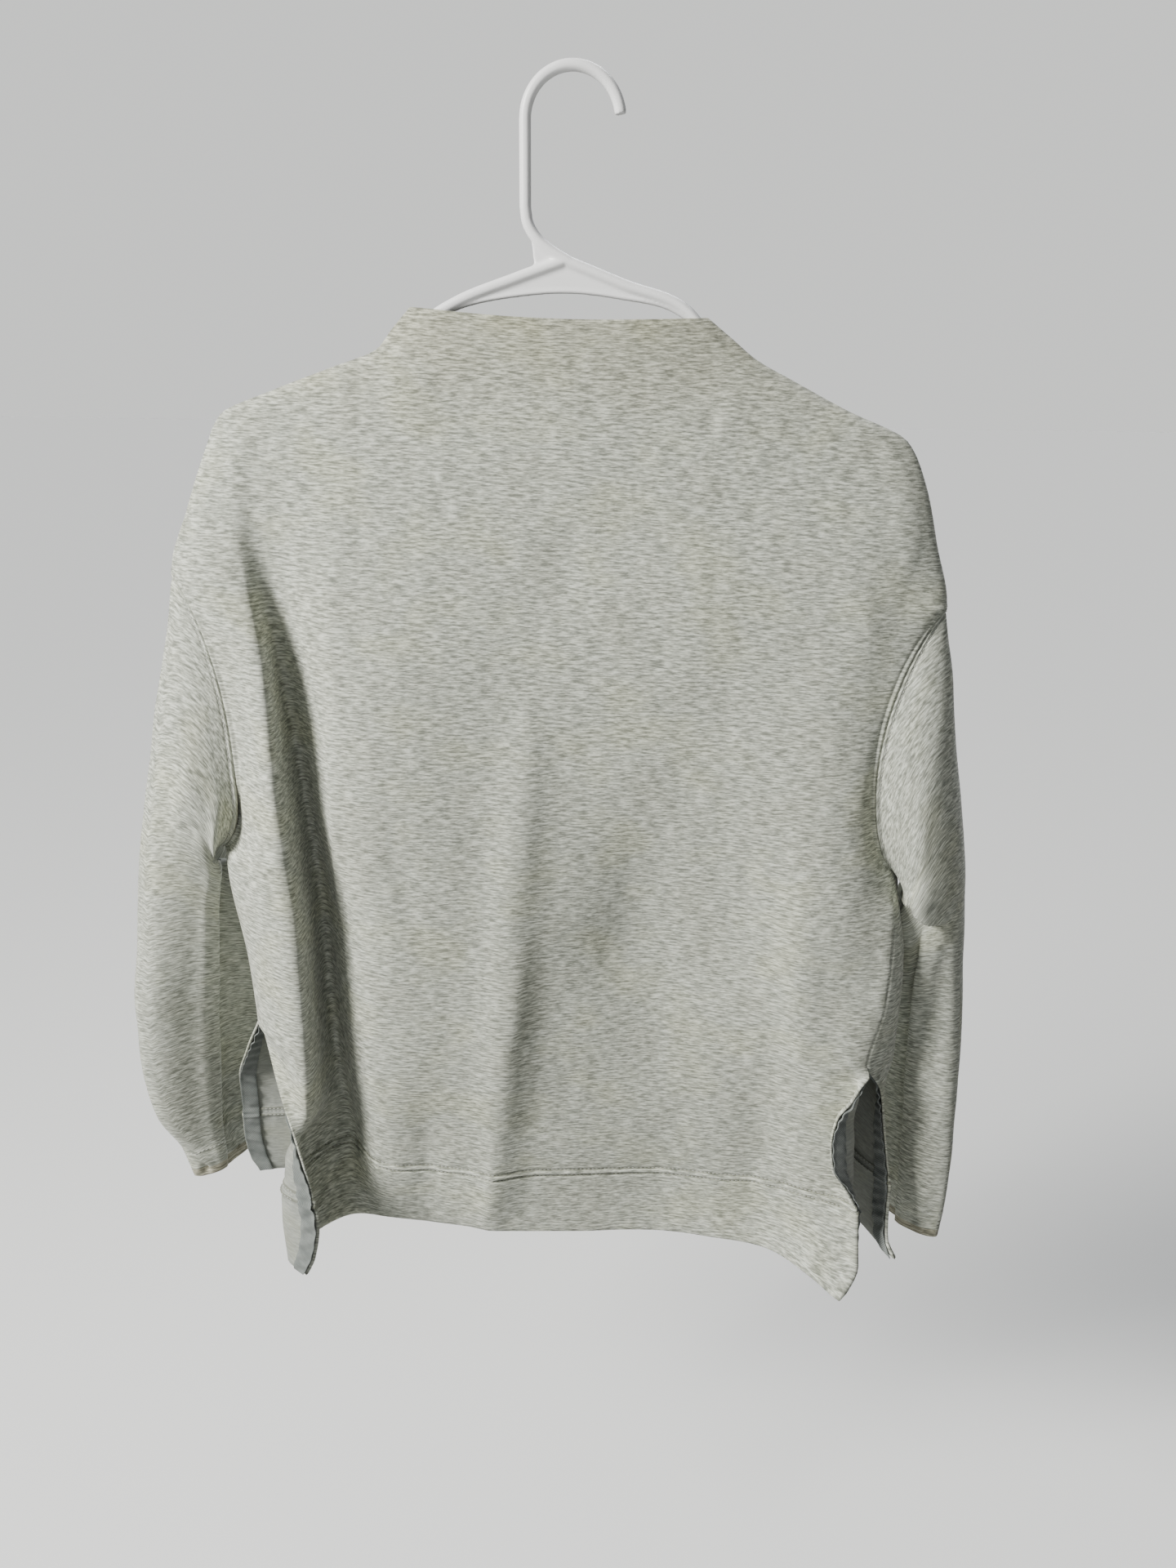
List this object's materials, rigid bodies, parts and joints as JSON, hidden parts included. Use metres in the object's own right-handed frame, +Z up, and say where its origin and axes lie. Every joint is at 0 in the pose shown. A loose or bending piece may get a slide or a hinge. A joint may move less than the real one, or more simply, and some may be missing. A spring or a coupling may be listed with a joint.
{
  "type": "mock neck sweatshirt on a clothes hanger",
  "caption": "Long-sleeved knit top with a funnel neck cut in one with the body, dropped shoulders and open side vents, hanging empty on a tubular hanger.",
  "frame": {"origin": "inside top of the hanger's hook, where it rests on a rail", "axes": "+Z up, +X along the shoulders to the viewer's right, -Y towards the viewer, the side called the front"},
  "size_m": [0.6079, 0.1448, 0.7972],
  "materials": {
    "knit": "matte heather double knit",
    "tape": "matte woven tape",
    "plastic": "smooth moulded"
  },
  "bodies": {
    "root": {"front_panel": "knit", "back_panel": "knit", "sleeve_left": "knit", "sleeve_right": "knit", "tape_front_left": "tape", "tape_front_right": "tape", "tape_back_left": "tape", "tape_back_right": "tape", "hanger": "plastic"}
  },
  "joints": []
}
